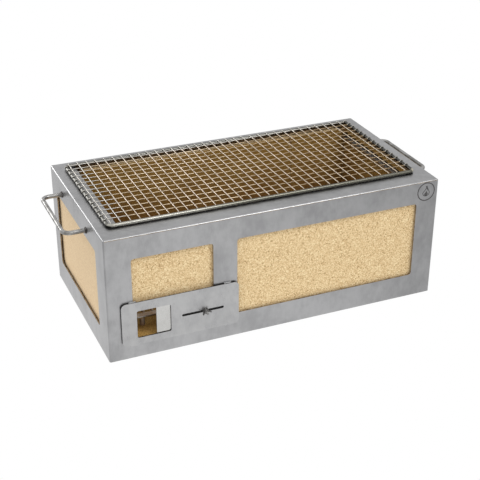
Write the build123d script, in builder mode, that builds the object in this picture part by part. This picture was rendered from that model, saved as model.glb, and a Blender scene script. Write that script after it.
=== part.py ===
"""Table-top charcoal grill: a folded steel casing round insulating slabs, with a sliding air vent,
a charcoal grate and a loose wire net. Millimetres, +Z up, origin at the middle of the base."""

from build123d import *
import math
import os

os.makedirs("parts", exist_ok=True)

# Casing
length = 520
width = 275
height = 192
sheet = 2
bend_radius = 2.5
post = 36  # steel left at each end of the front, and round the end windows
band = 35  # steel left above and below every window
window_radius = 4

# Top opening, set back and to the right, so that the front and left shelves are the wide ones
opening_left = -227.5
opening_right = 236
opening_front = -102
opening_back = 117
opening_radius = 5

# Insulating slabs
slab = 20
floor_slab_thickness = 29
slab_gap = 2  # air between the sheet and a slab
slab_top = height - sheet - 5
floor_top = sheet + floor_slab_thickness
slab_x = length / 2 - sheet - slab_gap  # outer faces of the end slabs
slab_y = width / 2 - sheet - slab_gap
chamber_x = slab_x - slab
chamber_y = slab_y - slab
front_joint_x = -84
front_corner_gap = 0.5
back_joint_x = 137.5
# Broken upper corners of the back slabs, each as its span and its depth below the top
left_break = ((-235.5, -217), 12)
joint_break = ((134, 137.5), 16)
right_break = ((224, 235.5), 6)

# Front windows, from left to right; the narrow one runs down behind the vent plate
narrow_window = (-222.5, -102.5)
wide_window = (-66, 224.5)
narrow_window_bottom = 86
end_window_y = (-95, 109.5)
back_narrow_window = (154, 205)
back_wide_window = (-205, 118)

# Air vent
plate_x = (-241, -65)
plate_z = (22, 90.5)
plate_thickness = 1.5
plate_radius = 7
vent_x = (-218.5, -168.5)
vent_z = (33, 76)
vent_margin = 2.5  # the casing's cut-out is this much larger than the plate's window
guide_thickness = 1.7
guide_height = 5.5
guide_inset = 4
slider_thickness = 1.2
slider_x = (-189.5, -108)
slider_play = 0.3
slot_x = (-152, -88.5)
slot_width = 3.6
stud_x = -117
stud_z = 54
stud_radius = 1.5
stud_length = 12
washer_radius = 4.5
washer_thickness = 0.8
nut_gap = 0.15
thread_play = 0.05

# Wing nut
hub_radius = 3.6
hub_tip_radius = 2.9
hub_height = 4.6
wing_reach = 7
wing_thickness = 1.4
wing_rise = 8.8
wing_tilt = 12
wing_foot = 0.6  # height of a wing's lower corner on the hub
wing_overlap = 1  # how far a wing runs into the hub

# Carrying handles
handle_rod = 6.5
handle_reach = 31.25
handle_span = 127.5
handle_y = 10.5
handle_z = 169.5
handle_bend = 11
weld_spread = 2

# Wire net
rim_rod = 5.4
rim_length = 478
rim_width = 220
rim_x = -2.5
rim_y = 6.5
rim_radius = 7
rim_lift = 0.3
wire = 1.6
long_wire_pitch = 14
cross_wire_pitch = 13.86
cross_wire_count = 34
cross_wire_x = -7.3
long_wire_count = 15
wire_end_inset = 2.2  # the long wires stop this far inside the rim's centre line
long_wire_y = 12.5
rim_z = height + rim_lift + rim_rod / 2
long_wire_z = rim_z + rim_rod / 2 - wire / 2
cross_wire_z = long_wire_z + wire

# Charcoal grate
grate_length = 450
grate_width = 220
grate_bar = 10
grate_thickness = 3
grate_radius = 6
foot_height = 13
foot_gap = 0.1
foot_rod = 8
foot_pitch = 200
grate_rod = 4
grate_rod_pitch = 13
grate_rod_count = 33
tie_width = 8
tie_thickness = 2
tie_pitch = 70
grate_z = floor_top + foot_height

# End rails, flat bars let into the end slabs
rail_reach = 6
rail_depth = 10
rail_thickness = 2
rail_top = 174

# Planes on the casing's faces, each with its local y upwards
front_face = Plane(origin=(0, -width / 2, 0), x_dir=(1, 0, 0), z_dir=(0, -1, 0))
back_face = Plane(origin=(0, width / 2, 0), x_dir=(-1, 0, 0), z_dir=(0, 1, 0))
right_face = Plane(origin=(length / 2, 0, 0), x_dir=(0, 1, 0), z_dir=(1, 0, 0))
left_face = Plane(origin=(-length / 2, 0, 0), x_dir=(0, -1, 0), z_dir=(-1, 0, 0))


def save(piece, name):
    """Label a finished piece and write its STEP file."""
    piece.part.label = name
    export_step(piece.part, f"parts/{name}.step")


def middle(span):
    """Middle of a (low, high) pair."""
    return (span[0] + span[1]) / 2


def size(span):
    """Length of a (low, high) pair."""
    return span[1] - span[0]


def add_panel(plane, x_span, y_span, thickness, radius=0, mode=Mode.ADD):
    """Extrude a rectangle, with round corners if given a radius, from a plane."""
    with BuildSketch(plane) as panel:
        with Locations((middle(x_span), middle(y_span))):
            if radius:
                RectangleRounded(size(x_span), size(y_span), radius)
            else:
                Rectangle(size(x_span), size(y_span))
    extrude(panel.sketch, amount=thickness, mode=mode)


def cut_window(plane, x_span, z_span, radius=window_radius):
    """Cut a window with round corners through the sheet behind a casing face."""
    add_panel(plane, x_span, z_span, -1.5 * sheet, radius, Mode.SUBTRACT)


# Casing: one folded sheet with a turned-in shelf round the top, open underneath
window_z = (band + 2, height - band)
with BuildPart() as casing:
    with BuildSketch():
        RectangleRounded(length, width, bend_radius)
    extrude(amount=height)
    fillet(casing.faces().sort_by(Axis.Z)[-1].edges(), bend_radius)
    with BuildSketch():
        RectangleRounded(length - 2 * sheet, width - 2 * sheet, bend_radius - sheet)
    extrude(amount=height - sheet, mode=Mode.SUBTRACT)
    top_opening_x = (opening_left, opening_right)
    top_opening_y = (opening_front, opening_back)
    top_plane = Plane.XY.offset(height)
    add_panel(top_plane, top_opening_x, top_opening_y, -2 * sheet, opening_radius, Mode.SUBTRACT)
    cut_window(front_face, narrow_window, (narrow_window_bottom, window_z[1]))
    cut_window(front_face, wide_window, window_z)
    cut_window(right_face, end_window_y, window_z)
    cut_window(left_face, (-end_window_y[1], -end_window_y[0]), window_z)
    for low_x, high_x in (back_wide_window, back_narrow_window):
        cut_window(back_face, (-high_x, -low_x), window_z)
    casing_vent_x = (vent_x[0] - vent_margin, vent_x[1] + vent_margin)
    casing_vent_z = (floor_top, vent_z[1] + vent_margin)
    cut_window(front_face, casing_vent_x, casing_vent_z, 1)
save(casing, "casing")

# Base plate, welded in flush with the casing's lower edge
with BuildPart() as base_plate:
    with BuildSketch():
        RectangleRounded(length - 2 * sheet, width - 2 * sheet, bend_radius - sheet)
    extrude(amount=sheet)
save(base_plate, "base_plate")

# Floor slabs, then wall slabs standing on them
floor_plane = Plane.XY.offset(sheet)
for name, x_span in (("floor_left_slab", (-slab_x, 0)), ("floor_right_slab", (0, slab_x))):
    with BuildPart() as floor_slab:
        add_panel(floor_plane, x_span, (-slab_y, slab_y), floor_slab_thickness)
    save(floor_slab, name)

wall_plane = Plane.XY.offset(floor_top)
wall_height = slab_top - floor_top

front_y = (-slab_y, -chamber_y)
back_y = (chamber_y, slab_y)
front_end_x = chamber_x - front_corner_gap

with BuildPart() as front_left_slab:
    add_panel(wall_plane, (-front_end_x, front_joint_x), front_y, wall_height)
    # Air passage from the vent, cut up from the slab's lower edge
    add_panel(wall_plane, casing_vent_x, front_y, size(casing_vent_z), 0, Mode.SUBTRACT)
save(front_left_slab, "front_left_slab")

with BuildPart() as front_right_slab:
    add_panel(wall_plane, (front_joint_x, front_end_x), front_y, wall_height)
save(front_right_slab, "front_right_slab")

slab_top_plane = Plane.XY.offset(slab_top)
with BuildPart() as back_left_slab:
    add_panel(wall_plane, (-front_end_x, back_joint_x), back_y, wall_height)
    for break_x, depth in (left_break, joint_break):
        add_panel(slab_top_plane, break_x, back_y, -depth, 0, Mode.SUBTRACT)
save(back_left_slab, "back_left_slab")

with BuildPart() as back_right_slab:
    add_panel(wall_plane, (back_joint_x, front_end_x), back_y, wall_height)
    add_panel(slab_top_plane, right_break[0], back_y, -right_break[1], 0, Mode.SUBTRACT)
save(back_right_slab, "back_right_slab")

# End slabs, each with a steel rail let into a groove under the net
rail_span = (rail_top - rail_thickness, rail_top)
for name, side in (("left", -1), ("right", 1)):
    inner_plane = Plane(origin=(side * chamber_x, 0, 0), x_dir=(0, side, 0), z_dir=(side, 0, 0))
    with BuildPart() as end_slab:
        add_panel(inner_plane, (-slab_y, slab_y), (floor_top, slab_top), slab)
        add_panel(inner_plane, (-chamber_y, chamber_y), rail_span, rail_depth, 0, Mode.SUBTRACT)
    save(end_slab, f"{name}_slab")
    with BuildPart() as rail:
        rail_plane = inner_plane.offset(-rail_reach)
        add_panel(rail_plane, (-chamber_y, chamber_y), rail_span, rail_reach + rail_depth)
    save(rail, f"{name}_rail")

# Vent: a plate held off the casing by two guides, between which the slider runs
plate_plane = front_face.offset(guide_thickness)
with BuildPart() as vent_plate:
    add_panel(plate_plane, plate_x, plate_z, plate_thickness, plate_radius)
    add_panel(plate_plane, vent_x, vent_z, plate_thickness, 2.5, Mode.SUBTRACT)
    with BuildSketch(plate_plane):
        with Locations((middle(slot_x), stud_z)):
            SlotOverall(size(slot_x), slot_width)
    extrude(amount=plate_thickness, mode=Mode.SUBTRACT)
save(vent_plate, "vent_plate")

guide_x = (plate_x[0] + guide_inset, plate_x[1] - guide_inset)
lower_guide_z = (plate_z[0] + guide_inset - 1, plate_z[0] + guide_inset - 1 + guide_height)
upper_guide_z = (plate_z[1] - guide_inset - guide_height, plate_z[1] - guide_inset)
with BuildPart() as upper_guide:
    add_panel(front_face, guide_x, upper_guide_z, guide_thickness)
save(upper_guide, "vent_upper_guide")

with BuildPart() as lower_guide:
    add_panel(front_face, guide_x, lower_guide_z, guide_thickness)
save(lower_guide, "vent_lower_guide")

# Short welds between the plate's long edges and the casing
weld_length = 11
weld_x = (plate_x[0] + 17, plate_x[1] - 17)
weld_depth = guide_thickness + plate_thickness / 2
with BuildPart() as plate_welds:
    for x in weld_x:
        for z, rise in ((plate_z[1], 1.5), (plate_z[0], -1.5)):
            weld_z = sorted((z, z + rise))
            add_panel(front_face, (x - weld_length / 2, x + weld_length / 2), weld_z, weld_depth)
save(plate_welds, "vent_plate_welds")

slider_z = (lower_guide_z[1] + slider_play, upper_guide_z[0] - slider_play)
slider_back = (guide_thickness - slider_thickness) / 2
with BuildPart() as vent_slider:
    add_panel(front_face.offset(slider_back), slider_x, slider_z, slider_thickness)
save(vent_slider, "vent_slider")

stud_plane = front_face.offset(slider_back + slider_thickness)
with BuildPart() as slider_stud:
    with BuildSketch(stud_plane):
        with Locations((stud_x, stud_z)):
            Circle(stud_radius)
    extrude(amount=stud_length)
save(slider_stud, "slider_stud")

washer_back = guide_thickness + plate_thickness + nut_gap
with BuildPart() as stud_washer:
    with BuildSketch(front_face.offset(washer_back)):
        with Locations((stud_x, stud_z)):
            Circle(washer_radius)
            Circle(stud_radius + thread_play, mode=Mode.SUBTRACT)
    extrude(amount=washer_thickness)
save(stud_washer, "stud_washer")

# Wing nut: a tapered hub with two wings that lean outwards, turned about the stud
nut_back = washer_back + washer_thickness + nut_gap
nut_origin = (stud_x, -width / 2 - nut_back, stud_z)
wing_x = math.cos(math.radians(wing_tilt))
wing_z = math.sin(math.radians(wing_tilt))
nut_plane = Plane(origin=nut_origin, x_dir=(wing_x, 0, wing_z), z_dir=(0, -1, 0))
wing_plane = Plane(origin=nut_origin, x_dir=(wing_x, 0, wing_z), z_dir=(wing_z, 0, -wing_x))
with BuildPart() as wing_nut:
    with BuildSketch(nut_plane):
        Circle(hub_radius)
    with BuildSketch(nut_plane.offset(hub_height)):
        Circle(hub_tip_radius)
    loft()
    with BuildSketch(wing_plane):
        with BuildLine():
            root_x = hub_tip_radius - wing_overlap
            foot = (root_x, wing_foot)
            shoulder = (root_x, hub_height - wing_thickness)
            tip_low = (wing_reach - wing_thickness, wing_rise / 2)
            tip_high = (wing_reach - wing_thickness, wing_rise)
            Line(shoulder, foot)
            Line(foot, tip_low)
            ThreePointArc(tip_low, (wing_reach, wing_rise * 3 / 4), tip_high)
            Line(tip_high, shoulder)
        make_face()
        mirror(about=Plane.YZ)
    extrude(amount=wing_thickness / 2, both=True)
    with BuildSketch(nut_plane):
        Circle(stud_radius + thread_play)
    extrude(amount=hub_height, mode=Mode.SUBTRACT)
save(wing_nut, "wing_nut")

# Handles: a bent rod welded to each end of the casing
handle_plane = Plane.XY.offset(handle_z)
for name, side in (("left", -1), ("right", 1)):
    wall_x = side * length / 2
    bar_x = wall_x + side * handle_reach
    near_y = handle_y - handle_span / 2
    far_y = handle_y + handle_span / 2
    with BuildPart() as handle:
        with BuildLine(handle_plane) as handle_path:
            corners = [(wall_x, near_y), (bar_x, near_y), (bar_x, far_y), (wall_x, far_y)]
            FilletPolyline(*corners, radius=handle_bend)
        with BuildSketch(Plane(origin=handle_path.line @ 0, z_dir=handle_path.line % 0)):
            Circle(handle_rod / 2)
        sweep()
    save(handle, f"{name}_handle")
    with BuildPart() as handle_welds:
        for foot_y in (near_y, far_y):
            with BuildSketch(handle_plane):
                with BuildLine():
                    rod_edge = foot_y + handle_rod / 2
                    Polyline(
                        (wall_x, rod_edge),
                        (wall_x, rod_edge + weld_spread),
                        (wall_x + side * weld_spread, rod_edge),
                        close=True,
                    )
                make_face()
            revolve(axis=Axis((wall_x, foot_y, handle_z), (1, 0, 0)))
    save(handle_welds, f"{name}_handle_welds")

# Net: a rod rim with wires both ways, the short wires on top
with BuildPart() as net_rim:
    with BuildLine(Plane.XY.offset(rim_z)) as rim_path:
        low_x = rim_x - rim_length / 2
        high_x = rim_x + rim_length / 2
        low_y = rim_y - rim_width / 2
        high_y = rim_y + rim_width / 2
        rim_corners = [(low_x, low_y), (high_x, low_y), (high_x, high_y), (low_x, high_y)]
        FilletPolyline(*rim_corners, radius=rim_radius, close=True)
    with BuildSketch(Plane(origin=rim_path.line @ 0, z_dir=rim_path.line % 0)):
        Circle(rim_rod / 2)
    sweep()
save(net_rim, "net_rim")

long_wire_length = rim_length - 2 * wire_end_inset
with BuildPart() as long_wires:
    long_start = (rim_x - long_wire_length / 2, long_wire_y, long_wire_z)
    with BuildSketch(Plane(origin=long_start, x_dir=(0, 1, 0), z_dir=(1, 0, 0))):
        with GridLocations(long_wire_pitch, 0, long_wire_count, 1):
            Circle(wire / 2)
    extrude(amount=long_wire_length)
save(long_wires, "net_long_wires")

with BuildPart() as cross_wires:
    cross_start = (cross_wire_x, rim_y + rim_width / 2, cross_wire_z)
    with BuildSketch(Plane(origin=cross_start, x_dir=(1, 0, 0), z_dir=(0, -1, 0))):
        with GridLocations(cross_wire_pitch, 0, cross_wire_count, 1):
            Circle(wire / 2)
    extrude(amount=rim_width)
save(cross_wires, "net_cross_wires")

# Charcoal grate: a flat frame with rods, tied underneath and standing on six feet
with BuildPart() as grate_frame:
    with BuildSketch(Plane.XY.offset(grate_z)):
        RectangleRounded(grate_length, grate_width, grate_radius)
        Rectangle(grate_length - 2 * grate_bar, grate_width - 2 * grate_bar, mode=Mode.SUBTRACT)
    extrude(amount=grate_thickness)
save(grate_frame, "grate_frame")

rod_z = grate_z + grate_thickness / 2
rod_length = grate_width - 2 * grate_bar
with BuildPart() as grate_rods:
    with BuildSketch(Plane(origin=(0, rod_length / 2, rod_z), x_dir=(1, 0, 0), z_dir=(0, -1, 0))):
        with GridLocations(grate_rod_pitch, 0, grate_rod_count, 1):
            Circle(grate_rod / 2)
    extrude(amount=rod_length)
save(grate_rods, "grate_rods")

tie_length = grate_length - 2 * grate_bar
with BuildPart() as grate_ties:
    with BuildSketch(Plane.XY.offset(rod_z - grate_rod / 2)):
        with GridLocations(0, tie_pitch, 1, 2):
            Rectangle(tie_length, tie_width)
    extrude(amount=-tie_thickness)
save(grate_ties, "grate_ties")

with BuildPart() as grate_feet:
    with BuildSketch(Plane.XY.offset(grate_z)):
        with GridLocations(foot_pitch, grate_width - grate_bar, 3, 2):
            Circle(foot_rod / 2)
    extrude(amount=foot_gap - foot_height)
save(grate_feet, "grate_feet")
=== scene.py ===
import math
import random

import bpy
from mathutils import Matrix, Vector


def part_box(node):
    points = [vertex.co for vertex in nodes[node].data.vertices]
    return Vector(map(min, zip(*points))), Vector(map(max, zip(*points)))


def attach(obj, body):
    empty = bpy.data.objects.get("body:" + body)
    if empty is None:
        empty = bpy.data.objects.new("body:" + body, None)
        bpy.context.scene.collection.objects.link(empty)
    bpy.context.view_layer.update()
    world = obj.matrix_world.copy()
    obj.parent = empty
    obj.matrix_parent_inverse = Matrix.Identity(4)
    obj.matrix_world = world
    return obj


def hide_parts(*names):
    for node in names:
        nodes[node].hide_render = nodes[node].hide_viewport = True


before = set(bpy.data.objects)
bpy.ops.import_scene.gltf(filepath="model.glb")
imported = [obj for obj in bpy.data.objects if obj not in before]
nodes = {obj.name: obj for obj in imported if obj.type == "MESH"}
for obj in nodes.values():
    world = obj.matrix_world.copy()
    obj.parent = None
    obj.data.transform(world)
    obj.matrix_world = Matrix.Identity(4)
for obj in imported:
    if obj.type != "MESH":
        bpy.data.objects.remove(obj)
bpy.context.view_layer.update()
mm = 0.001
random.seed(11)


class Flow:
    # one socket of a finish; sums written with it add Math nodes
    def __init__(self, finish, socket):
        self.finish = finish
        self.socket = socket

    def maths(self, operation, first, second=0.0):
        return self.finish.add("Math", {"operation": operation}, {0: first, 1: second})

    def __add__(self, other):
        return self.maths("ADD", self, other)

    def __radd__(self, other):
        return self.maths("ADD", other, self)

    def __sub__(self, other):
        return self.maths("SUBTRACT", self, other)

    def __rsub__(self, other):
        return self.maths("SUBTRACT", other, self)

    def __mul__(self, other):
        return self.maths("MULTIPLY", self, other)

    def __rmul__(self, other):
        return self.maths("MULTIPLY", other, self)

    def __abs__(self):
        return self.maths("ABSOLUTE", self)

    def __lt__(self, other):
        return self.maths("LESS_THAN", self, other)

    def __gt__(self, other):
        return self.maths("GREATER_THAN", self, other)


class Finish:
    def __init__(self, name, world=None):
        self.material = world or bpy.data.materials.new(name)
        self.material.use_nodes = True
        self.tree = self.material.node_tree
        self.tree.nodes.clear()
        self.place = self.add("TexCoord", out="Generated" if world else "Object")

    def add(self, kind, settings=None, sockets=None, out=0):
        node = self.tree.nodes.new("ShaderNode" + kind)
        for key, value in (settings or {}).items():
            if key == "stops":
                ramp = node.color_ramp
                while len(ramp.elements) < len(value):
                    ramp.elements.new(0.5)
                for element, (position, colour) in zip(ramp.elements, value):
                    element.position = position
                    element.color = (*colour, 1)
            else:
                setattr(node, key, value)
        for key, value in (sockets or {}).items():
            if isinstance(value, Flow):
                self.tree.links.new(value.socket, node.inputs[key])
            elif isinstance(value, tuple) and node.inputs[key].type == "RGBA":
                node.inputs[key].default_value = (*value, 1)
            else:
                node.inputs[key].default_value = value
        return Flow(self, node.outputs[out]) if node.outputs else None

    def noise(self, grain, detail=3, rough=0.5, stretch=(1, 1, 1), twist=0):
        # grain is the size in millimetres of the pattern's spots
        spot = self.add("Mapping", {}, {"Vector": self.place, "Scale": stretch})
        values = {"Vector": spot, "Scale": 1000 / grain, "Detail": detail, "Roughness": rough,
                  "Distortion": twist}
        return self.add("TexNoise", {}, values)

    def step(self, value, low, high, newLow=0.0, newHigh=1.0):
        values = {"Value": value, "From Min": low, "From Max": high, "To Min": newLow, "To Max": newHigh}
        return self.add("MapRange", {"interpolation_type": "SMOOTHSTEP"}, values)

    def ramp(self, value, stops):
        return self.add("ValToRGB", {"stops": stops}, {0: value})

    def blend(self, amount, first, second):
        values = {0: amount, 6: first, 7: second}
        return self.add("Mix", {"data_type": "RGBA"}, values, 2)

    def along(self, axis):
        return self.add("SeparateXYZ", {}, {0: self.place}, axis)

    def bump(self, height, strength, depth):
        values = {"Height": height, "Strength": strength, "Distance": depth * mm}
        return self.add("Bump", {}, values)

    def shade(self, **values):
        names = {key.replace("_", " "): value for key, value in values.items()}
        surface = self.add("BsdfPrincipled", {}, names)
        self.add("OutputMaterial", {}, {"Surface": surface})
        return self.material


# Finishes

satinLook = {"light": (0.43, 0.43, 0.435), "dark": (0.33, 0.33, 0.335), "roughness": 0.34, "grain": 0.35}


def satinSteel(name, light, dark, roughness, grain, slotShade=None):
    steel = Finish(name)
    clouds = steel.noise(55, 4, 0.55)
    mottle = steel.noise(9, 3, 0.6, (1, 1, 0.6))
    brushed = steel.noise(grain, 2, 0.6, (1, 1, 0.03))
    smears = steel.step(steel.noise(26, 5, 0.7, (1, 1, 0.5), 0.8), 0.52, 0.72)
    scuffs = steel.step(steel.noise(1.6, 4, 0.75, (1, 0.12, 0.12)), 0.66, 0.74)
    tone = clouds * 0.5 + mottle * 0.3 + brushed * 0.2
    colour = steel.blend(steel.step(tone, 0.36, 0.62), dark, light)
    colour = steel.blend(scuffs * 0.25, colour, (0.55, 0.55, 0.55))
    if slotShade:
        # painted shade in the slot: a black band on the slider, to the right of the given x and at the given
        # height
        near = steel.step(abs(steel.along(2) - slotShade[1]), 0.0024, 0.0019)
        slotShadeMask = near * steel.step(steel.along(0), slotShade[0], slotShade[0] + 0.001)
        colour = steel.blend(slotShadeMask * 0.95, colour, (0.02, 0.02, 0.02))
    gloss = roughness + (brushed - 0.5) * 0.16 + smears * 0.09 + (mottle - 0.5) * 0.12
    relief = steel.bump(brushed * 0.6 + mottle * 0.4, 0.22, 0.06)
    return steel.shade(Base_Color=colour, Metallic=1.0, Roughness=gloss, Normal=relief)


# lit and shaded copies of one wire colour: the cross wires are painted lighter and the long wires darker
crossLitLook = {"clean": (0.62, 0.53, 0.445), "tintAndShade": (0.48, 0.41, 0.31), "roughness": 0.3, "rightShade": 0.45}
longShadedLook = {"clean": (0.6, 0.49, 0.34), "tintAndShade": (0.32, 0.225, 0.125), "roughness": 0.34, "rightShade": 0.85}


def heatTintAndShadeWire(name, clean, tintAndShade, roughness, rightShade):
    wire = Finish(name)
    x, y = wire.along(0), wire.along(1)
    bands = wire.noise(30, 4, 0.6)
    spots = wire.noise(2.2, 3, 0.6)
    tint = wire.step(bands * 0.7 + spots * 0.3, 0.42, 0.66)
    colour = wire.blend(tint * 0.5, clean, tintAndShade)
    # painted shade: the net is darkened toward its right end; the margins over the shelf have had no fire
    # under them
    colour = wire.blend(wire.step(x + (bands - 0.5) * 0.1, -0.15, 0.15) * rightShade, colour, tintAndShade)
    cool = 1 - wire.step(x, -0.222, -0.2) * wire.step(y, 0.106, 0.098)
    colour = wire.blend(cool, colour, (0.52, 0.5, 0.46))
    gloss = roughness + tint * 0.14 + (spots - 0.5) * 0.15
    return wire.shade(Base_Color=colour, Metallic=1.0, Roughness=gloss,
                      Normal=wire.bump(spots, 0.35, 0.08))


rimLook = {"wearAndHighlight": (0.5, 0.49, 0.44), "plain": (0.2, 0.197, 0.18), "front": (0.17, 0.165, 0.135),
           "grimeAndShade": (0.07, 0.068, 0.06), "sootAndShade": (0.015, 0.014, 0.012), "middleZ": 0.195}


def rimWithPaintedLight(name, wearAndHighlight, plain, front, grimeAndShade, sootAndShade, middleZ):
    # painted light: a painted highlight on the front of the rim near its left end, and painted shade on its
    # underside and on its right run; the random dark patches are grime
    rim = Finish(name)
    x, y, z = rim.along(0), rim.along(1), rim.along(2)
    patches = rim.noise(11, 4, 0.6)
    fine = rim.noise(1.2, 3, 0.6)
    # painted shade: the right run is dark
    colour = rim.blend(x > 0.2335, plain, grimeAndShade)
    # painted highlight along the front run, fading to the darker front colour toward the right
    atFront = rim.step(y, -0.099, -0.102)
    colour = rim.blend(atFront, colour, rim.blend(rim.step(x, -0.02, -0.2), front, wearAndHighlight))
    # a lighter patch is painted at the front right corner
    colour = rim.blend(rim.step(x, 0.2325, 0.235) * rim.step(y, -0.098, -0.1), colour, (0.75, 0.7, 0.56))
    atLeft = rim.step(x, -0.237, -0.2395)
    # painted shade on the underside, reaching higher on the left run
    shadedUnderside = rim.step(z - atLeft * 0.0012 + (patches - 0.5) * 0.001, middleZ - 0.0004, middleZ - 0.0014)
    colour = rim.blend(shadedUnderside, rim.blend(patches * 0.4, colour, grimeAndShade), sootAndShade)
    gloss = 0.27 + shadedUnderside * 0.25 + (fine - 0.5) * 0.1
    return rim.shade(Base_Color=colour, Metallic=1.0, Roughness=gloss, Normal=rim.bump(fine, 0.3, 0.06))


rodLook = {"clean": (0.38, 0.375, 0.365), "dull": (0.24, 0.235, 0.225), "roughness": 0.3}


def drawnRod(name, clean, dull, roughness):
    rod = Finish(name)
    patches = rod.noise(14, 4, 0.6)
    lines = rod.noise(0.5, 2, 0.6, (0.2, 0.2, 1))
    wear = rod.step(patches, 0.42, 0.62)
    colour = rod.blend(wear, clean, dull)
    gloss = roughness + wear * 0.12 + (lines - 0.5) * 0.12
    return rod.shade(Base_Color=colour, Metallic=1.0, Roughness=gloss, Normal=rod.bump(lines, 0.3, 0.04))


weldLook = {"bead": (0.16, 0.15, 0.145), "scale": (0.05, 0.04, 0.035), "roughness": 0.5}


def weldMetal(name, bead, scale, roughness):
    weld = Finish(name)
    ripples = weld.noise(1.3, 4, 0.65)
    sootAndShade = weld.step(weld.noise(3.5, 3, 0.6), 0.42, 0.6)
    colour = weld.blend(sootAndShade, bead, scale)
    return weld.shade(Base_Color=colour, Metallic=0.8, Roughness=roughness + sootAndShade * 0.2,
                      Normal=weld.bump(ripples, 0.8, 0.3))


boltLook = {"plate": (0.26, 0.255, 0.25), "dull": (0.12, 0.115, 0.11), "roughness": 0.32}


def platedBolt(name, plate, dull, roughness):
    bolt = Finish(name)
    stain = bolt.step(bolt.noise(2.4, 4, 0.6), 0.42, 0.64)
    fine = bolt.noise(0.4, 2, 0.6)
    return bolt.shade(Base_Color=bolt.blend(stain, plate, dull), Metallic=1.0,
                      Roughness=roughness + stain * 0.18, Normal=bolt.bump(fine, 0.3, 0.05))


grateLook = {"steel": (0.7, 0.66, 0.6), "blue": (0.36, 0.34, 0.33), "brown": (0.42, 0.3, 0.2)}


def burntGrate(name, steel, blue, brown):
    grate = Finish(name)
    heat = grate.noise(45, 3, 0.55)
    crust = grate.noise(1.5, 4, 0.65)
    colour = grate.ramp(heat, [(0.38, steel), (0.52, brown), (0.64, blue)])
    ash = grate.step(grate.noise(6, 4, 0.7), 0.5, 0.7)
    colour = grate.blend(ash * 0.5, colour, (0.5, 0.47, 0.42))
    return grate.shade(Base_Color=colour, Metallic=0.75, Roughness=0.42 + crust * 0.3,
                       Normal=grate.bump(crust, 0.5, 0.2))


slabLook = {
    "pale": (0.98, 0.82, 0.52), "main": (0.76, 0.555, 0.3), "speck": (0.33, 0.19, 0.07),
    "rosy": (0.86, 0.66, 0.44), "hotTop": (0.35, 0.2, 0.048), "hotLow": (0.15, 0.056, 0.009),
    "chamberX": 0.2374, "chamberY": 0.1149, "floorTop": 0.0315, "railZ": 0.173,
}


def firedSlab(name, pale, main, speck, rosy, hotTop, hotLow, chamberX, chamberY, floorTop,
              railZ):
    slab = Finish(name)
    x, y, z = slab.along(0), slab.along(1), slab.along(2)
    coarse = slab.noise(4.5, 4, 0.7, twist=0.5)
    grit = slab.noise(1.7, 3, 0.65)
    clouds = slab.noise(60, 3, 0.5)
    grains = slab.add("TexVoronoi", {"feature": "F1"}, {"Vector": slab.place, "Scale": 420.0})
    mix = coarse * 0.2 + grit * 0.8
    outside = slab.ramp(mix, [(0.36, speck), (0.455, main), (0.52, main), (0.62, pale)])
    outside = slab.blend(slab.step(x, -0.237, -0.24) * 0.65, outside, rosy)
    # the fire side is browned, more so low down
    heat = slab.step(z + (clouds - 0.5) * 0.09, 0.044, 0.169)
    inside = slab.blend(heat, hotLow, hotTop)
    inside = slab.blend(slab.step(mix, 0.42, 0.6) * 0.5, inside, (0.42, 0.26, 0.075))
    inside = slab.blend(slab.step(grit, 0.54, 0.68) * 0.55, inside, (0.09, 0.045, 0.018))
    # ash lies on the floor, golden where the vent lights it
    golden = slab.blend(slab.step(mix, 0.4, 0.6), (0.3, 0.17, 0.04), (0.62, 0.4, 0.14))
    fireSide = (abs(x) < chamberX) * (abs(y) < chamberY)
    pits = slab.step(grains, 0.1, 0.5)
    relief = slab.bump(coarse * 0.4 + grit * 0.4 + pits * 0.2, 0.7, 0.5)
    # painted shadow: a black band on the slabs round the rails
    railShade = slab.step(abs(z - railZ), 0.007, 0.0055) * (abs(x) > chamberX - 0.004)
    inside = slab.blend(railShade * 0.95, inside, (0.015, 0.011, 0.008))
    colour = slab.blend(z < floorTop, slab.blend(fireSide, outside, inside), golden)
    return slab.shade(Base_Color=colour, Roughness=0.82 + grit * 0.15,
                      Normal=relief, Specular_IOR_Level=0.25)


cutLook = {"bright": (0.44, 0.35, 0.24), "burnt": (0.2, 0.145, 0.085), "roughness": 0.45}


def cutEdge(name, bright, burnt, roughness):
    # the walls that a laser leaves, finely striped and a little burnt
    edge = Finish(name)
    stripes = edge.noise(0.8, 3, 0.6)
    burn = edge.step(edge.noise(9, 3, 0.6), 0.4, 0.62)
    return edge.shade(Base_Color=edge.blend(burn, bright, burnt), Metallic=0.9,
                      Roughness=roughness + stripes * 0.25, Normal=edge.bump(stripes, 0.4, 0.1))


etchLook = {"mark": (0.085, 0.08, 0.08), "wearAndHighlight": (0.17, 0.165, 0.165)}


def etchedMark(name, mark, wearAndHighlight):
    etch = Finish(name)
    rub = etch.step(etch.noise(1.6, 4, 0.7), 0.45, 0.62)
    return etch.shade(Base_Color=etch.blend(rub, mark, wearAndHighlight), Metallic=0.7,
                      Roughness=0.5 + rub * 0.2, Normal=etch.bump(rub, 0.3, 0.05))


sheetFinish = satinSteel("satinSheet", **satinLook)
plateFinish = satinSteel("ventSheet", (0.47, 0.47, 0.47), (0.37, 0.37, 0.375), 0.3, 0.3)
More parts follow.
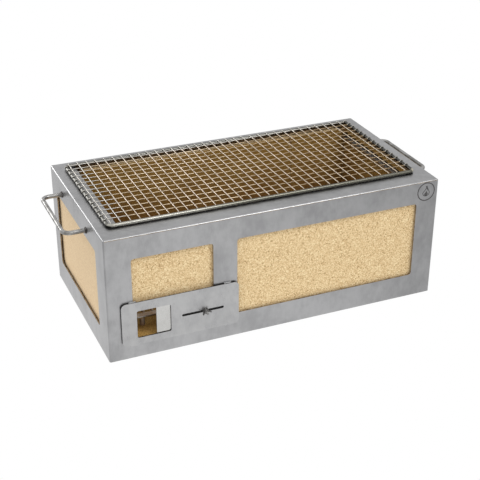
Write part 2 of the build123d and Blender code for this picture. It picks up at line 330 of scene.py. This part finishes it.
# the slider finish's last argument places the black band of painted shade behind the slot
brightFinish = satinSteel("sliderSheet", (0.58, 0.575, 0.56), (0.5, 0.495, 0.48), 0.24, 0.3, (-0.152, 0.0532))
railFinish = drawnRod("railBar", (0.62, 0.6, 0.57), (0.45, 0.43, 0.4), 0.42)
crossFinish = heatTintAndShadeWire("crossWire", **crossLitLook)
longFinish = heatTintAndShadeWire("longWire", **longShadedLook)
hookFinish = heatTintAndShadeWire("wireEnds", (0.46, 0.45, 0.41), (0.33, 0.31, 0.27), 0.3, 0.2)
rimFinish = rimWithPaintedLight("rimRod", **rimLook)
rodFinish = drawnRod("handleRod", **rodLook)
weldFinish = weldMetal("weldBead", **weldLook)
boltFinish = platedBolt("boltPlating", **boltLook)
grateFinish = burntGrate("burntGrate", **grateLook)
slabFinish = firedSlab("firedSlab", **slabLook)
markFinish = etchedMark("etchedMark", **etchLook)
cutFinish = cutEdge("cutEdge", **cutLook)
# nearly black cut walls for the vent plate and slider: cut-edge colour with painted shade in the slot and the
# gaps
cutEdgeAndShadeFinish = cutEdge("cutEdgeAndShade", (0.13, 0.125, 0.12), (0.035, 0.03, 0.03), 0.45)
print("finishes made")


# Tools for shaping

def pick(piece, kind, wanted):
    # leaves the piece in edit mode with the vertices, edges or faces that pass the test selected
    bpy.context.view_layer.objects.active = piece
    bpy.ops.object.mode_set(mode="EDIT")
    bpy.ops.mesh.select_mode(type=kind)
    bpy.ops.mesh.select_all(action="DESELECT")
    bpy.ops.object.mode_set(mode="OBJECT")
    mesh = piece.data
    if kind == "VERT":
        for corner in mesh.vertices:
            corner.select = wanted(corner.co)
    elif kind == "EDGE":
        for edge in mesh.edges:
            edge.select = wanted(*(mesh.vertices[i].co for i in edge.vertices))
    else:
        for face in mesh.polygons:
            face.select = wanted(face.center, face.normal)
    bpy.ops.object.mode_set(mode="EDIT")


def leave():
    bpy.ops.object.mode_set(mode="OBJECT")


def only(piece):
    bpy.ops.object.select_all(action="DESELECT")
    piece.select_set(True)
    bpy.context.view_layer.objects.active = piece


def started(name):
    # names a primitive that has just been added and puts its place into its mesh
    piece = bpy.context.object
    piece.name = name
    bpy.ops.object.transform_apply(location=True, rotation=True, scale=True)
    return piece


def addBlock(name, low, high):
    bpy.ops.object.select_all(action="DESELECT")
    bpy.ops.mesh.primitive_cube_add(size=1, location=[(a + b) / 2 for a, b in zip(low, high)])
    bpy.context.object.scale = [b - a for a, b in zip(low, high)]
    return started(name)


def mmBlock(name, xSpan, ySpan, zSpan):
    low = [span[0] * mm for span in (xSpan, ySpan, zSpan)]
    high = [span[1] * mm for span in (xSpan, ySpan, zSpan)]
    return addBlock(name, low, high)


def useModifier(piece, kind, **settings):
    only(piece)
    modifier = piece.modifiers.new(kind, kind)
    for key, value in settings.items():
        setattr(modifier, key, value)
    bpy.ops.object.modifier_apply(modifier=modifier.name)


def roundAlong(piece, axis, radius, steps=6):
    # rounds the edges that run along one axis
    others = [i for i in range(3) if i != axis]
    pick(piece, "EDGE", lambda a, b: all(abs(a[i] - b[i]) < 1e-6 for i in others))
    bpy.ops.mesh.bevel(offset=radius * mm, segments=steps, profile=0.5, affect="EDGES")
    leave()


def cut(piece, *cutters):
    for cutter in cutters:
        useModifier(piece, "BOOLEAN", operation="DIFFERENCE", solver="EXACT", object=cutter)
        bpy.data.objects.remove(cutter)


def soften(piece, width, steps=2, corner=50):
    useModifier(piece, "BEVEL", width=width * mm, segments=steps, limit_method="ANGLE",
                angle_limit=math.radians(corner), harden_normals=False)


def smooth(piece, corner=40):
    only(piece)
    bpy.ops.object.shade_smooth_by_angle(angle=math.radians(corner))
    useModifier(piece, "WEIGHTED_NORMAL", keep_sharp=True)


def outward(piece, merge=True):
    pick(piece, "VERT", lambda corner: True)
    if merge:
        bpy.ops.mesh.remove_doubles(threshold=0.01 * mm)
    bpy.ops.mesh.normals_make_consistent(inside=False)
    leave()


def together(name, parts):
    bpy.ops.object.select_all(action="DESELECT")
    for part in parts:
        part.select_set(True)
    bpy.context.view_layer.objects.active = parts[0]
    bpy.ops.object.join()
    parts[0].name = name
    return parts[0]


def copyOf(piece, shift=(0, 0, 0), turn=None):
    twin = piece.copy()
    twin.data = piece.data.copy()
    bpy.context.scene.collection.objects.link(twin)
    if turn is not None:
        twin.data.transform(turn)
    twin.data.transform(Matrix.Translation(Vector(shift) * mm))
    return twin


facing = {"X": (0, math.pi / 2, 0), "Y": (math.pi / 2, 0, 0), "Z": (0, 0, 0)}


def startRod(name, radius, sides, place, axis, closed=True):
    bpy.ops.object.select_all(action="DESELECT")
    bpy.ops.mesh.primitive_circle_add(vertices=sides, radius=radius * mm, location=Vector(place) * mm,
                                      rotation=facing[axis], fill_type="NGON" if closed else "NOTHING")
    rod = started(name)
    bpy.ops.object.mode_set(mode="EDIT")
    bpy.ops.mesh.select_mode(type="FACE" if closed else "EDGE")
    bpy.ops.mesh.select_all(action="SELECT")
    return rod


def runRod(shift):
    bpy.ops.mesh.extrude_region_move(TRANSFORM_OT_translate={"value": Vector(shift) * mm})


def bendRod(centre, degrees, axis=(0, 0, 1), steps=8):
    # the spin operator turns against its axis, hence the sign
    bpy.ops.mesh.spin(steps=steps, angle=-math.radians(degrees), center=Vector(centre) * mm, axis=axis)


def settle(piece, finish, body, slot, *stoodFor):
    piece.data.materials.clear()
    piece.data.materials.append(finish)
    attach(piece, body)
    if stoodFor:
        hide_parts(*stoodFor)


def finishFaces(piece, finish, wanted):
    piece.data.materials.append(finish)
    for face in piece.data.polygons:
        if wanted(face.center / mm, face.normal):
            face.material_index = len(piece.data.materials) - 1


def keepNode(name, finish):
    node = nodes[name]
    if not node.material_slots:
        node.data.materials.append(finish)
    for slot in node.material_slots:
        slot.material = finish


# Casing: one folded sheet, open underneath, with its windows cut through

casingShape = {
    "bend": 2.5, "sheet": 2, "edge": 0.35, "corner": 4,
    "opening": ((-227.5, 236), (-102, 117)),
    "frontWindows": (((-222.5, -102.5), (86, 157)), ((-66, 224.5), (37, 157))),
    "backWindows": (((-205, 118), (37, 157)), ((154, 205), (37, 157))),
    "endWindow": ((-95, 109.5), (37, 157)),
    "ventHole": ((-221, -166), (31, 78.5)),
    "openingCorner": 5, "ventCorner": 1,
    # how deep the cutters reach through the shelf and the walls
    "shelfCut": (184, 200), "frontCut": (-145, -130), "backCut": (130, 145),
    "endCuts": ((-270, -250), (250, 270)),
    # a cut wall's faces lie deeper in the sheet than the skin, and clear of the bends
    "skin": 0.1, "flatX": 255, "flatY": 132, "shelfX": 240, "underShelf": 188,
}


def makeCasing(shape):
    low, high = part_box("casing")
    casing = addBlock("casingSheet", low, high)
    pick(casing, "FACE", lambda centre, normal: normal.z < -0.5)
    bpy.ops.mesh.delete(type="FACE")
    leave()
    pick(casing, "EDGE", lambda a, b: max(a.z, b.z) > low.z + mm)
    bpy.ops.mesh.bevel(offset=shape["bend"] * mm, segments=6, profile=0.5, affect="EDGES")
    leave()
    useModifier(casing, "SOLIDIFY", thickness=shape["sheet"] * mm, offset=-1, use_even_offset=True)
    opening = mmBlock("cutter", *shape["opening"], shape["shelfCut"])
    roundAlong(opening, 2, shape["openingCorner"])
    cutters = [opening]
    for wall in ("front", "back"):
        for xSpan, zSpan in shape[wall + "Windows"]:
            window = mmBlock("cutter", xSpan, shape[wall + "Cut"], zSpan)
            roundAlong(window, 1, shape["corner"])
            cutters.append(window)
    for xSpan in shape["endCuts"]:
        window = mmBlock("cutter", xSpan, *shape["endWindow"])
        roundAlong(window, 0, shape["corner"])
        cutters.append(window)
    vent = mmBlock("cutter", shape["ventHole"][0], shape["frontCut"], shape["ventHole"][1])
    roundAlong(vent, 1, shape["ventCorner"], 3)
    cutters.append(vent)
    cut(casing, *cutters)
    soften(casing, shape["edge"])
    smooth(casing, 35)
    settle(casing, sheetFinish, "grill", "sheet", "casing")

    outside, skin = high / mm, shape["skin"]

    def inSheet(place, normal, axis):
        depth = outside[axis] - abs(place[axis])
        return skin < depth < shape["sheet"] - skin and abs(normal[axis]) < 0.5

    def isCut(place, normal):
        front = inSheet(place, normal, 1) and abs(place.x) < shape["flatX"]
        end = inSheet(place, normal, 0) and abs(place.y) < shape["flatY"]
        top = inSheet(place, normal, 2) and abs(place.x) < shape["shelfX"]
        return (front or end) and place.z < shape["underShelf"] or top

    finishFaces(casing, cutFinish, isCut)


makeCasing(casingShape)
for name in ("base_plate", "vent_upper_guide", "vent_lower_guide"):
    keepNode(name, sheetFinish)
for name in ("left_rail", "right_rail"):
    keepNode(name, railFinish)
print("casing made")


# Slabs: sawn boards of a porous stone, their edges a little crumbled

slabShape = {"cuts": 15, "edge": 1.3, "crumble": 0.7, "crumbleGrain": 7}
crumbs = bpy.data.textures.new("slabCrumbs", "CLOUDS")
crumbs.noise_scale = slabShape["crumbleGrain"] * mm
crumbs.noise_depth = 3


# the air passage, and the broken upper corners of the back slabs
slabCuts = {
    "front_left_slab": (((-221, -166), (24, 78.5)),),
    "back_left_slab": (((-240, -217), (173, 194)), ((134, 140), (169, 194))),
    "back_right_slab": (((224, 240), (179, 194)),),
}


def makeSlab(node, shape):
    slab = addBlock(node + "_board", *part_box(node))
    bpy.ops.object.mode_set(mode="EDIT")
    bpy.ops.mesh.select_all(action="SELECT")
    bpy.ops.mesh.subdivide(number_cuts=shape["cuts"])
    leave()
    for xSpan, zSpan in slabCuts.get(node, ()):
        low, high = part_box(node)
        cut(slab, mmBlock("cutter", xSpan, (low.y / mm - 5, high.y / mm + 5), zSpan))
    soften(slab, shape["edge"], 2, 60)
    useModifier(slab, "DISPLACE", texture=crumbs, strength=shape["crumble"] * mm, mid_level=1.0)
    smooth(slab, 50)
    settle(slab, slabFinish, "grill", "slab", node)


for name in sorted(nodes):
    if name.endswith("_slab"):
        makeSlab(name, slabShape)
print("slabs made")


# Handles: bent rods with a lumpy weld round each foot

handleShape = {"rod": 3.25, "root": 258.5, "bar": 291.25, "near": -53.25, "far": 74.25, "height": 169.5,
               "bend": 11}
footWeld = {"spread": 5.4, "neck": 3.4, "rise": 2.8, "lumps": 0.3, "sides": 28, "wall": 260, "sunk": 0.2}


def makeHandle(side, name, shape):
    root, bar, bend = side * shape["root"], side * shape["bar"], shape["bend"]
    handle = startRod(name + "HandleRod", shape["rod"], 24, (root, shape["near"], shape["height"]), "X")
    run = side * (shape["bar"] - shape["root"] - bend)
    runRod((run, 0, 0))
    bendRod((root + run, shape["near"] + bend, 0), side * 90)
    runRod((0, shape["far"] - shape["near"] - 2 * bend, 0))
    bendRod((root + run, shape["far"] - bend, 0), side * 90)
    runRod((-run, 0, 0))
    leave()
    outward(handle, merge=False)
    smooth(handle, 50)
    settle(handle, rodFinish, "grill", "rod", name + "_handle")


def makeFootWeld(side, name, y, seed):
    bpy.ops.object.select_all(action="DESELECT")
    rise = footWeld["rise"]
    place = Vector((side * (footWeld["wall"] + rise / 2 - footWeld["sunk"]), y, handleShape["height"])) * mm
    bpy.ops.mesh.primitive_cone_add(vertices=footWeld["sides"], depth=rise * mm, location=place,
                                    radius1=footWeld["spread"] * mm, radius2=footWeld["neck"] * mm,
                                    rotation=(0, side * math.pi / 2, 0))
    weld = started(name)
    bpy.ops.object.mode_set(mode="EDIT")
    bpy.ops.mesh.select_all(action="SELECT")
    bpy.ops.mesh.subdivide(number_cuts=2)
    bpy.ops.transform.vertex_random(offset=footWeld["lumps"] * mm, seed=seed, normal=0.6)
    leave()
    useModifier(weld, "SUBSURF", levels=1, render_levels=1)
    return weld


for side, name in ((-1, "left"), (1, "right")):
    makeHandle(side, name, handleShape)
    feet = [makeFootWeld(side, "footWeld", handleShape[key], seed)
            for key, seed in (("near", 3 + side), ("far", 8 + side))]
    welds = together(name + "HandleWelds", feet)
    smooth(welds, 60)
    settle(welds, weldFinish, "grill", "weld", name + "_handle_welds")
print("handles made")


# Air vent: plate, slider, stud and wing nut

ventShape = {
    "corner": 7, "edge": 0.3, "window": ((-218.5, -168.5), (33, 76)), "windowCorner": 2.5,
    "slot": ((-152, -88.5), (52.2, 55.8)), "slotCorner": 1.79, "studX": -117, "studZ": 54,
    "cut": (-150, -130),
}
sliderShape = {"corner": 1.5, "edge": 0.2}


def makeVentPlate(shape):
    plate = addBlock("ventPlateSheet", *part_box("vent_plate"))
    roundAlong(plate, 1, shape["corner"], 8)
    window = mmBlock("cutter", shape["window"][0], shape["cut"], shape["window"][1])
    roundAlong(window, 1, shape["windowCorner"], 4)
    slot = mmBlock("cutter", shape["slot"][0], shape["cut"], shape["slot"][1])
    roundAlong(slot, 1, shape["slotCorner"], 12)
    cut(plate, window, slot)
    soften(plate, shape["edge"])
    smooth(plate, 35)
    settle(plate, plateFinish, "grill", "bright_sheet", "vent_plate")
    # the plate's cut walls are nearly black: painted shade
    finishFaces(plate, cutEdgeAndShadeFinish, lambda centre, normal: abs(normal.y) < 0.5)


def makeSlider(shape):
    slider = addBlock("sliderSheet", *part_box("vent_slider"))
    roundAlong(slider, 1, shape["corner"], 4)
    soften(slider, shape["edge"])
    smooth(slider, 35)
    settle(slider, brightFinish, "slider", "bright_sheet", "vent_slider")
    # the slider's cut walls are nearly black: painted shade
    finishFaces(slider, cutEdgeAndShadeFinish, lambda centre, normal: abs(normal.y) < 0.5)


# four beads, at two places along the plate's upper and lower edges
plateWeld = {"places": (-224, -82), "reach": 5.5, "half": 0.75, "depth": 2.4, "lumps": 0.25, "seed": 300}


def makePlateWelds(shape):
    low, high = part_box("vent_plate_welds")
    reach, half, back = shape["reach"], shape["half"], high.y / mm
    beads = []
    for x in shape["places"]:
        for z in (low.z / mm + half, high.z / mm - half):
            ySpan = (back - shape["depth"], back)
            bead = mmBlock("bead", (x - reach, x + reach), ySpan, (z - half, z + half))
            bpy.ops.object.mode_set(mode="EDIT")
            bpy.ops.mesh.select_all(action="SELECT")
            bpy.ops.mesh.subdivide(number_cuts=4)
            bpy.ops.transform.vertex_random(offset=shape["lumps"] * mm, seed=int(x + z + shape["seed"]))
            leave()
            useModifier(bead, "SUBSURF", levels=1, render_levels=1)
            beads.append(bead)
    welds = together("ventPlateWelds", beads)
    smooth(welds, 60)
    settle(welds, plateFinish, "grill", "weld", "vent_plate_welds")


studShape = {"radius": 1.44, "root": 1.2, "pitch": 0.6}


def makeStud(shape):
    low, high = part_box("slider_stud")
    start = (ventShape["studX"], high.y / mm, ventShape["studZ"])
    stud = startRod("threadedStud", shape["radius"], 20, start, "Y")
    length = (high.y - low.y) / mm
    turns = int(length / shape["pitch"])
    waist = shape["root"] / shape["radius"]
    for turn in range(turns):
        for scale in (waist, 1 / waist):
            runRod((0, -length / turns / 2, 0))
            bpy.ops.transform.resize(value=(scale, 1, scale))
    leave()
    outward(stud, merge=False)
    smooth(stud, 20)
    settle(stud, boltFinish, "slider", "fastener", "slider_stud")


washerShape = {"rim": 2.7, "hollow": 0.5, "edge": 0.15}


def makeWasher(shape):
    low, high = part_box("stud_washer")
    start = (ventShape["studX"], high.y / mm, ventShape["studZ"])
    washer = startRod("studWasher", (high.x - low.x) / 2 / mm, 40, start, "Y")
    runRod((0, (low.y - high.y) / mm, 0))
    bpy.ops.mesh.inset(thickness=shape["rim"] * mm)
    runRod((0, shape["hollow"], 0))
    leave()
    outward(washer, merge=False)
    soften(washer, shape["edge"])
    smooth(washer, 35)
    settle(washer, boltFinish, "slider", "fastener", "stud_washer")


nutShape = {"base": 3.6, "tip": 2.9, "height": 4.6, "tilt": 12, "thickness": 0.7,
            "faceRim": 1.2, "edge": 0.3, "wingEdge": 0.5, "taper": 0.97}
# each step out along a wing: distance from the stud, lowest and highest point
wingSteps = ((1.5, 0.8, 3.8), (3.0, 1.2, 4.6), (4.3, 2.2, 6.4),
             (5.6, 3.6, 8.3), (6.5, 5.2, 8.6), (6.9, 6.4, 8.0))


def makeWingNut(shape):
    low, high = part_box("wing_nut")
    back = high.y / mm
    stud = Vector((ventShape["studX"], back, ventShape["studZ"]))
    bpy.ops.object.select_all(action="DESELECT")
    place = (stud + Vector((0, -shape["height"] / 2, 0))) * mm
    bpy.ops.mesh.primitive_cone_add(vertices=32, radius1=shape["base"] * mm, radius2=shape["tip"] * mm,
                                    depth=shape["height"] * mm, location=place, rotation=(math.pi / 2, 0, 0))
    hub = started("hub")
    pick(hub, "FACE", lambda centre, normal: abs(normal.y) > 0.9)
    bpy.ops.mesh.inset(thickness=shape["faceRim"] * mm, use_individual=True)
    leave()
    soften(hub, shape["edge"], 2, 60)
    parts = [hub]
    for side in (-1, 1):
        first = wingSteps[0]
        half = shape["thickness"]
        wing = mmBlock("wing", (first[0] - 1, first[0]), (-first[2], -first[1]), (-half, half))
        for before, after in zip(wingSteps, wingSteps[1:]):
            reach = before[0] * mm
            pick(wing, "FACE", lambda centre, normal: normal.x > 0.5 and centre.x > reach - 0.02 * mm)
            middleBefore, middleAfter = (before[1] + before[2]) / 2, (after[1] + after[2]) / 2
            runRod((after[0] - before[0], middleBefore - middleAfter, 0))
            grow = (after[2] - after[1]) / (before[2] - before[1])
            bpy.ops.transform.resize(value=(1, grow, shape["taper"]))
            leave()
        soften(wing, shape["wingEdge"], 3, 40)
        turn = Matrix.Rotation(math.radians(-shape["tilt"]), 4, "Y")
        if side < 0:
            turn = turn @ Matrix.Rotation(math.pi, 4, "Y")
        wing.data.transform(Matrix.Translation(stud * mm) @ turn)
        parts.append(wing)
    nut = together("wingNut", parts)
    outward(nut, merge=False)
    smooth(nut, 45)
    settle(nut, boltFinish, "nut", "fastener", "wing_nut")


makeVentPlate(ventShape)
makeSlider(sliderShape)
makePlateWelds(plateWeld)
makeStud(studShape)
makeWasher(washerShape)
makeWingNut(nutShape)
print("vent made")


# Net: a rod rim, with crimped wires laid both ways

rimShape = {"rod": 2.7, "left": -241.5, "right": 236.5, "front": -103.5, "back": 116.5, "corner": 7,
            "height": 195.0}


def makeRim(shape):
    left, right, front, back = (shape[key] for key in ("left", "right", "front", "back"))
    corner, height = shape["corner"], shape["height"]
    long, short = right - left - 2 * corner, back - front - 2 * corner
    rim = startRod("netRimRod", shape["rod"], 20, (0, front, height), "X", closed=False)
    runRod((right - corner, 0, 0))
    bendRod((right - corner, front + corner, 0), 90)
    runRod((0, short, 0))
    bendRod((right - corner, back - corner, 0), 90)
    runRod((-long, 0, 0))
    bendRod((left + corner, back - corner, 0), 90)
    runRod((0, -short, 0))
    bendRod((left + corner, front + corner, 0), 90)
    runRod((-left - corner, 0, 0))
    leave()
    outward(rim)
    smooth(rim, 50)
    settle(rim, rimFinish, "net", "net_wire", "net_rim")


wireShape = {"radius": 0.8, "sides": 8, "samples": 6, "crimp": 0.25, "endDrop": 0.6, "endRun": 4}
crossShape = {"firstX": -236, "pitch": 13.86, "count": 34, "front": -103.2, "back": 118.2, "height": 198.5,
              "wobble": 0.25}
longShape = {"firstY": -85.5, "pitch": 14, "count": 15, "left": -237, "right": 232, "height": 196.9}
# how the wires have slid from even spacing, in mm: the cross wires are gathered to the left round one
# place, more so at the back, and the long wires lie in a slow wave
slideShape = {"gatherX": 50, "gatherWidth": 105, "frontGather": 2, "backGather": 7,
              "fan": 1.2, "fanReach": 225,
              "shift": 0.6, "waveAlong": 2.6, "waveX": -55, "halfLength": 260,
              "waveAcross": 2, "waveY": 12, "halfWidth": 125}


def crossSlide(shape, x, y):
    share = (y - crossShape["front"]) / (crossShape["back"] - crossShape["front"])
    gather = shape["frontGather"] + (shape["backGather"] - shape["frontGather"]) * share
    near = math.exp(-((x - shape["gatherX"]) / shape["gatherWidth"]) ** 2)
    return shape["fan"] * x / shape["fanReach"] - gather * near


def longSlide(shape, x, y):
    along = math.cos(math.pi * (x - shape["waveX"]) / shape["halfLength"])
    across = math.cos(math.pi * (y - shape["waveY"]) / shape["halfWidth"])
    return shape["shift"] - shape["waveAlong"] * along + shape["waveAcross"] * across


def drawWire(name, axis, start, end, level, crimpStart, pitch, up):
    # a wire crimped once for each wire that it crosses: upwards if up is 1, downwards if -1
    count = round((end - start) / pitch * wireShape["samples"])
    step = (end - start) / count

    def height(s):
        phase = 2 * math.pi * (s - crimpStart) / pitch
        fromEnd = min(s - start, end - s)
        drop = wireShape["endDrop"] * max(0, 1 - fromEnd / wireShape["endRun"]) if up > 0 else 0
        return level - up * wireShape["crimp"] * (1 - math.cos(phase)) / 2 - drop

    place = (start, 0, height(start)) if axis == "X" else (0, start, height(start))
    wire = startRod(name, wireShape["radius"], wireShape["sides"], place, axis)
    for i in range(count):
        rise = height(start + (i + 1) * step) - height(start + i * step)
        runRod((step, 0, rise) if axis == "X" else (0, step, rise))
    leave()
    outward(wire, merge=False)
    smooth(wire, 60)
    return wire


def makeCrossWires():
    shape = crossShape
    master = drawWire("crossWire", "Y", shape["front"], shape["back"], shape["height"],
                      longShape["firstY"], longShape["pitch"], 1)
    laid = []
    for i in range(shape["count"]):
        wire = copyOf(master)
        x = shape["firstX"] + i * shape["pitch"]
        wobble = random.uniform(-shape["wobble"], shape["wobble"])
        for point in wire.data.vertices:
            slid = crossSlide(slideShape, x, point.co.y / mm)
            point.co.x += (x + slid + wobble) * mm
        laid.append(wire)
    bpy.data.objects.remove(master)
    settle(together("netCrossWires", laid), crossFinish, "net", "net_wire", "net_cross_wires")


def makeLongWires():
    shape = longShape
    master = drawWire("longWire", "X", shape["left"], shape["right"], shape["height"],
                      crossShape["firstX"], crossShape["pitch"], -1)
    laid = []
    for i in range(shape["count"]):
        wire = copyOf(master)
        y = shape["firstY"] + i * shape["pitch"]
        for point in wire.data.vertices:
            slid = longSlide(slideShape, point.co.x / mm, y)
            point.co.y += (y + slid) * mm
        laid.append(wire)
    bpy.data.objects.remove(master)
    settle(together("netLongWires", laid), longFinish, "net", "net_wire", "net_long_wires")


hookShape = {"radius": 0.8, "grip": 3.45, "run": 5, "wrap": 75, "skew": 3, "lastRise": 0.3}


def makeHooks(shape):
    # each long wire is bent down round the outside of the rim at both ends
    height = rimShape["height"]
    rise = shape["grip"] + height - longShape["height"]
    hook = startRod("hook", shape["radius"], 8, (-shape["run"], 0, longShape["height"]), "X")
    runRod((shape["run"] / 2, shape["skew"] / 2, rise - shape["lastRise"]))
    runRod((shape["run"] / 2, shape["skew"] / 2, shape["lastRise"]))
    bendRod((0, 0, height), shape["wrap"], (0, 1, 0), 6)
    leave()
    outward(hook, merge=False)
    smooth(hook, 60)
    bent = []
    for i in range(longShape["count"]):
        y = longShape["firstY"] + i * longShape["pitch"]
        for end, turn in (("left", math.pi), ("right", 0)):
            slid = longSlide(slideShape, rimShape[end], y)
            bent.append(copyOf(hook, (rimShape[end], y + slid, 0), Matrix.Rotation(turn, 4, "Z")))
    bpy.data.objects.remove(hook)
    settle(together("netHooks", bent), hookFinish, "net", "net_wire")


makeRim(rimShape)
makeCrossWires()
makeLongWires()
makeHooks(hookShape)
print("net made")


# Charcoal grate

grateShape = {"frameInset": 10, "corner": 6, "edge": 0.4, "rodPitch": 13, "rodCount": 33, "rod": 2,
              "rodSteps": 20, "sag": 0.12, "sagStep": 1.3, "highlightFront": -100}


def makeGrate(shape):
    low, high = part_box("grate_frame")
    grateFrame = addBlock("grateFrameBar", low, high)
    roundAlong(grateFrame, 2, shape["corner"])
    inset = shape["frameInset"] * mm
    cut(grateFrame, addBlock("cutter", (low.x + inset, low.y + inset, low.z - mm),
                             (high.x - inset, high.y - inset, high.z + mm)))
    soften(grateFrame, shape["edge"])
    smooth(grateFrame, 35)
    settle(grateFrame, grateFinish, "grate", "grate_steel", "grate_frame")
    # painted highlight: the frame's front faces get the bright slider finish
    finishFaces(grateFrame, brightFinish,
                lambda place, normal: normal.y < -0.5 and place.y < shape["highlightFront"])
    low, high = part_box("grate_rods")
    rod = startRod("grateRod", shape["rod"], 10, (0, low.y / mm, (low.z + high.z) / 2 / mm), "Y")
    for i in range(shape["rodSteps"]):
        run = (high.y - low.y) / mm / shape["rodSteps"]
        runRod((0, run, shape["sag"] * math.sin(i * shape["sagStep"])))
    leave()
    outward(rod, merge=False)
    smooth(rod, 60)
    first = -shape["rodPitch"] * (shape["rodCount"] - 1) / 2
    rods = [copyOf(rod, (first + i * shape["rodPitch"], 0, 0)) for i in range(shape["rodCount"])]
    bpy.data.objects.remove(rod)
    settle(together("grateRods", rods), grateFinish, "grate", "grate_steel", "grate_rods")
    for name in ("grate_ties", "grate_feet"):
        keepNode(name, grateFinish)


makeGrate(grateShape)
print("grate made")


# Etched mark: a plain ring round a flame

markShape = {"x": 239.5, "z": 174.8, "radius": 15, "ring": 1.7, "depth": 0.08, "sunk": 0.05,
             "flame": 6.2, "line": 1.1, "lean": 1.6, "stretch": 0.75, "drop": 1.5,
             # the size of the outer and of the inner flame, and how far each is shifted up
             "flames": ((1.0, 0), (0.5, -2.2))}


def makeMark(shape):
    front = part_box("casing")[0].y / mm
    centre = (shape["x"], front + shape["sunk"], shape["z"])
    outwards = (0, -shape["depth"] - shape["sunk"], 0)
    ring = startRod("ring", shape["radius"], 64, centre, "Y")
    bpy.ops.mesh.inset(thickness=shape["ring"] * mm)
    bpy.ops.mesh.delete(type="FACE")
    bpy.ops.mesh.select_all(action="SELECT")
    runRod(outwards)
    leave()
    parts = [ring]
    for size, shift in shape["flames"]:
        radius = shape["flame"] * size
        flame = startRod("flame", radius, 32, centre, "Y")
        leave()
        # the circle is drawn up into a leaning tongue
        for corner in flame.data.vertices:
            x, z = corner.co.x / mm - shape["x"], corner.co.z / mm - shape["z"]
            up = max(0, z) / radius
            lean = shape["lean"] * size * up * math.sin(3 * up)
            corner.co.x = (shape["x"] + x * (1 - up ** 1.5) + lean) * mm
            corner.co.z = (shape["z"] + z * (1 + shape["stretch"] * up) - shape["drop"] + shift) * mm
        bpy.context.view_layer.objects.active = flame
        bpy.ops.object.mode_set(mode="EDIT")
        bpy.ops.mesh.select_all(action="SELECT")
        if size == 1.0:
            bpy.ops.mesh.inset(thickness=shape["line"] * mm)
            bpy.ops.mesh.delete(type="FACE")
            bpy.ops.mesh.select_all(action="SELECT")
        runRod(outwards)
        leave()
        parts.append(flame)
    mark = together("etchedMark", parts)
    outward(mark, merge=False)
    settle(mark, markFinish, "grill", "sheet")


makeMark(markShape)
print("mark made")


# Floor, lights and camera

roomLook = {"floorSeen": 1.0, "floorLow": 0.72, "floorHigh": 1.02, "brightX": -0.09,
            "brightReach": (0.05, 0.5), "floorSize": 12, "floorDrop": 0.0005,
            "skySeen": 1.0, "horizon": 0.62, "zenith": 1.0}
lamps = (
    # name, direction it stands in from the grill, distance, size, brightness
    ("backStrip", (-0.5, 0.815, 0.3), 1.6, 0.5, 5),
    ("topSoft", (0.3, -0.5, 0.8), 1.8, 0.6, 7),
)


def makeRoom():
    bpy.ops.object.select_all(action="DESELECT")
    bpy.ops.mesh.primitive_plane_add(size=roomLook["floorSize"], location=(0, 0, -roomLook["floorDrop"]))
    floor = started("floor")
    paper = Finish("paleFloor")
    seen = paper.add("LightPath")
    side = abs(paper.along(0) - roomLook["brightX"])
    lit = paper.step(side, *roomLook["brightReach"], roomLook["floorHigh"], roomLook["floorLow"])
    strength = seen * roomLook["floorSeen"] + (1 - seen) * lit
    glow = paper.add("Emission", {}, {"Color": (1.0, 1.0, 1.0), "Strength": strength})
    paper.add("OutputMaterial", {}, {"Surface": glow})
    floor.data.materials.append(paper.material)
    sky = Finish("paleRoom", bpy.data.worlds.new("paleRoom"))
    seen = sky.add("LightPath")
    lit = sky.step(sky.along(2), 0.0, 0.9, roomLook["horizon"], roomLook["zenith"])
    strength = seen * roomLook["skySeen"] + (1 - seen) * lit
    light = sky.add("Background", {}, {"Color": (1.0, 1.0, 1.0), "Strength": strength})
    sky.add("OutputWorld", {}, {"Surface": light})
    bpy.context.scene.world = sky.material
    for name, direction, distance, size, brightness in lamps:
        light = bpy.data.lights.new(name, "AREA")
        light.size = size
        light.energy = brightness * math.pi * size ** 2
        lamp = bpy.data.objects.new(name, light)
        bpy.context.scene.collection.objects.link(lamp)
        lamp.location = Vector(direction).normalized() * distance
        lamp.rotation_euler = Vector(direction).to_track_quat("Z", "Y").to_euler()


lens = {"azimuth": -23.2548, "height": 27.44797, "roll": 0.17002, "distance": 1.7203784,
        "right": 0.0026138, "up": -0.0640562, "lift": 0.004, "focal": 81.2}


def makeCamera(shape):
    a, e, r = (math.radians(shape[key]) for key in ("azimuth", "height", "roll"))
    back = Vector((math.sin(a) * math.cos(e), -math.cos(a) * math.cos(e), math.sin(e)))
    side = (-back).cross(Vector((0, 0, 1))).normalized()
    top = side.cross(-back)
    right = math.cos(r) * side + math.sin(r) * top
    up = math.cos(r) * top - math.sin(r) * side
    data = bpy.data.cameras.new("camera")
    data.sensor_width = 36
    data.lens = shape["focal"]
    data.clip_start, data.clip_end = 0.05, 50
    camera = bpy.data.objects.new("camera", data)
    bpy.context.scene.collection.objects.link(camera)
    turn = Matrix((right, up, back)).transposed().to_4x4()
    place = back * shape["distance"] - right * shape["right"] - up * shape["up"]
    camera.matrix_world = Matrix.Translation(place + Vector((0, 0, shape["lift"]))) @ turn
    bpy.context.scene.camera = camera


makeRoom()
makeCamera(lens)
bpy.context.scene.view_settings.view_transform = "Standard"
print("room, lights and camera made")
